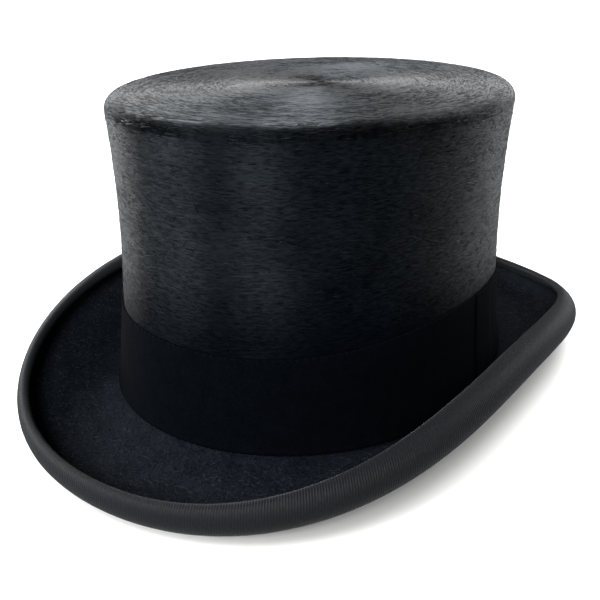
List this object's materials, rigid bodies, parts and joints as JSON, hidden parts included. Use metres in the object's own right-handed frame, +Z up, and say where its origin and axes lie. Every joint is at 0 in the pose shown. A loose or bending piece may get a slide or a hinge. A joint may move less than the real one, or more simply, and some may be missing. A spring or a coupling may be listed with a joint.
{
  "type": "top hat",
  "caption": "Rigid formal hat: tall waisted crown with a flat tip, cloth band, and a curled ribbon-bound brim that dips at front and back and rises at the sides.",
  "frame": {"origin": "on the plane the brim rests on, below the centre of the head oval", "axes": "+Z up out of the crown; the wearer faces -Y; +X is the wearer's left"},
  "size_m": [0.2344, 0.3062, 0.141],
  "materials": {
    "fur_felt": "long fur nap brushed level round the crown, silky sheen",
    "fur_felt_tip": "long fur nap brushed in a whorl, silky sheen",
    "brim_felt": "short matte fuzz",
    "underbrim_felt": "smooth matte felt",
    "grosgrain": "fine cross ribs, dull sheen",
    "band_cloth": "fine matte wool",
    "black_thread": "twisted thread",
    "tan_thread": "twisted thread",
    "shellacked_cloth": "stiff, satin lacquer",
    "sweatband_leather": "fine grain, satin",
    "reed": "smooth",
    "tape": "fine plain weave",
    "satin": "satin sheen"
  },
  "bodies": {
    "root": {"crown_side_felt": "fur_felt", "crown_tip_felt": "fur_felt_tip", "crown_side_shell": "shellacked_cloth", "crown_tip_shell": "shellacked_cloth", "brim_felt": "brim_felt", "brim_shell": "shellacked_cloth", "underbrim_felt": "underbrim_felt", "brim_binding": "grosgrain", "binding_stitch": "black_thread", "hat_band": "band_cloth", "band_top_stitch": "black_thread", "band_bottom_stitch": "black_thread", "sweatband": "sweatband_leather", "sweatband_reed": "reed", "reed_tape": "tape", "sweatband_stitch": "tan_thread", "sweatband_join_tape": "tape", "sweatband_bow": "grosgrain", "lining_side": "satin", "lining_tip": "satin", "lining_piping": "satin"}
  },
  "joints": []
}
